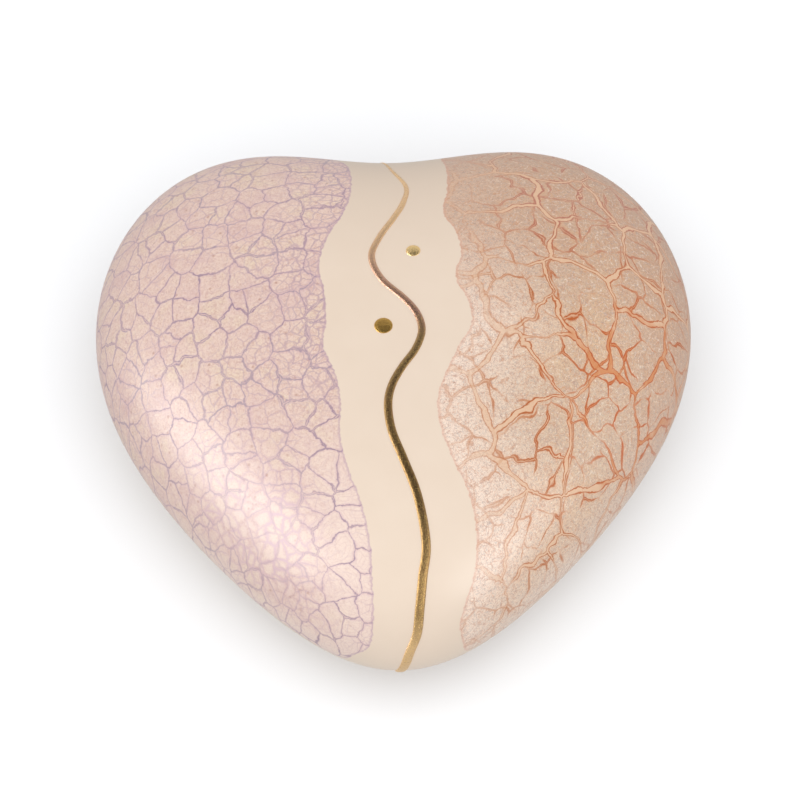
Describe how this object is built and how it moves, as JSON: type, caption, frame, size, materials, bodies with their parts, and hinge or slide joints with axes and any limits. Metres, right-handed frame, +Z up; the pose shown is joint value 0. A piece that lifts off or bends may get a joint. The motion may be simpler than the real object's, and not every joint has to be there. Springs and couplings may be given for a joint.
{
  "type": "wind-up music box",
  "caption": "Heart-shaped glazed ceramic wind-up music box with a gilded wavy line and dots, its movement and winding key set into a recess underneath.",
  "frame": {"origin": "on the table, under the middle of the heart's outline", "axes": "+X across the heart from left lobe to right lobe, -Y towards its pointed end, +Z up"},
  "size_m": [0.1498, 0.1416, 0.0645],
  "materials": {
    "glaze": "gloss",
    "lustre": "polished",
    "felt": "matte",
    "rubber": "matte",
    "plastic": "satin",
    "zinc": "satin",
    "steel": "satin",
    "nickel": "polished",
    "brass": "satin"
  },
  "bodies": {
    "base": {"heart_shell": "glaze", "gold_line": "lustre", "gold_dot_left": "lustre", "gold_dot_right": "lustre", "foot_pad_1": "felt", "foot_pad_2": "felt", "foot_pad_3": "felt", "base_seal": "rubber", "base_plate": "plastic", "bedplate": "zinc", "comb_rail": "zinc", "cylinder_bearing": "zinc", "governor_post": "zinc", "movement_screw_1": "steel", "movement_screw_2": "steel", "movement_screw_3": "steel", "clutch_spring": "steel", "comb": "steel", "comb_screw_1": "steel", "comb_screw_2": "steel", "bracket_screw_1": "steel", "bracket_screw_2": "steel", "governor_bracket": "nickel"},
    "winder": {"winding_key": "nickel", "winding_arbor": "steel", "barrel_clip": "steel"},
    "barrel": {"spring_barrel": "brass", "crown_gear": "brass", "mainspring": "steel"},
    "cylinder": {"pinned_cylinder": "brass", "cylinder_arbor": "steel", "cylinder_pinion": "brass", "cylinder_wheel": "brass"},
    "governor": {"governor_arbor": "steel", "worm_wheel": "brass"},
    "flyer": {"worm": "steel", "fan": "nickel"},
    "stop": {"stop_arm": "steel", "stop_tab": "plastic"}
  },
  "joints": [
    {"name": "key_turn", "type": "hinge", "parent": "base", "child": "winder", "pos_m": [-0.0126, -0.003, 0.006], "axis": [0, 0, 1], "range_deg": [0, 1350]},
    {"name": "barrel_turn", "type": "hinge", "parent": "base", "child": "barrel", "pos_m": [-0.0126, -0.003, 0.022], "axis": [0, 0, 1], "continuous": true},
    {"name": "cylinder_turn", "type": "hinge", "parent": "base", "child": "cylinder", "pos_m": [0.008, -0.003, 0.0252], "axis": [1, 0, 0], "continuous": true},
    {"name": "governor_turn", "type": "hinge", "parent": "base", "child": "governor", "pos_m": [0.018, 0.00487, 0.0252], "axis": [1, 0, 0], "continuous": true},
    {"name": "flyer_turn", "type": "hinge", "parent": "base", "child": "flyer", "pos_m": [0.0188, 0.01173, 0.03], "axis": [0, 0, 1], "continuous": true},
    {"name": "stop_lever", "type": "hinge", "parent": "base", "child": "stop", "pos_m": [0.01, 0.0125, 0.012], "axis": [0, 0, 1], "range_deg": [-30, 0]}
  ],
  "couplings": [
    {"joint": "cylinder_turn", "follows": "barrel_turn", "ratio": 3},
    {"joint": "governor_turn", "follows": "barrel_turn", "ratio": -12},
    {"joint": "flyer_turn", "follows": "barrel_turn", "ratio": 360}
  ]
}
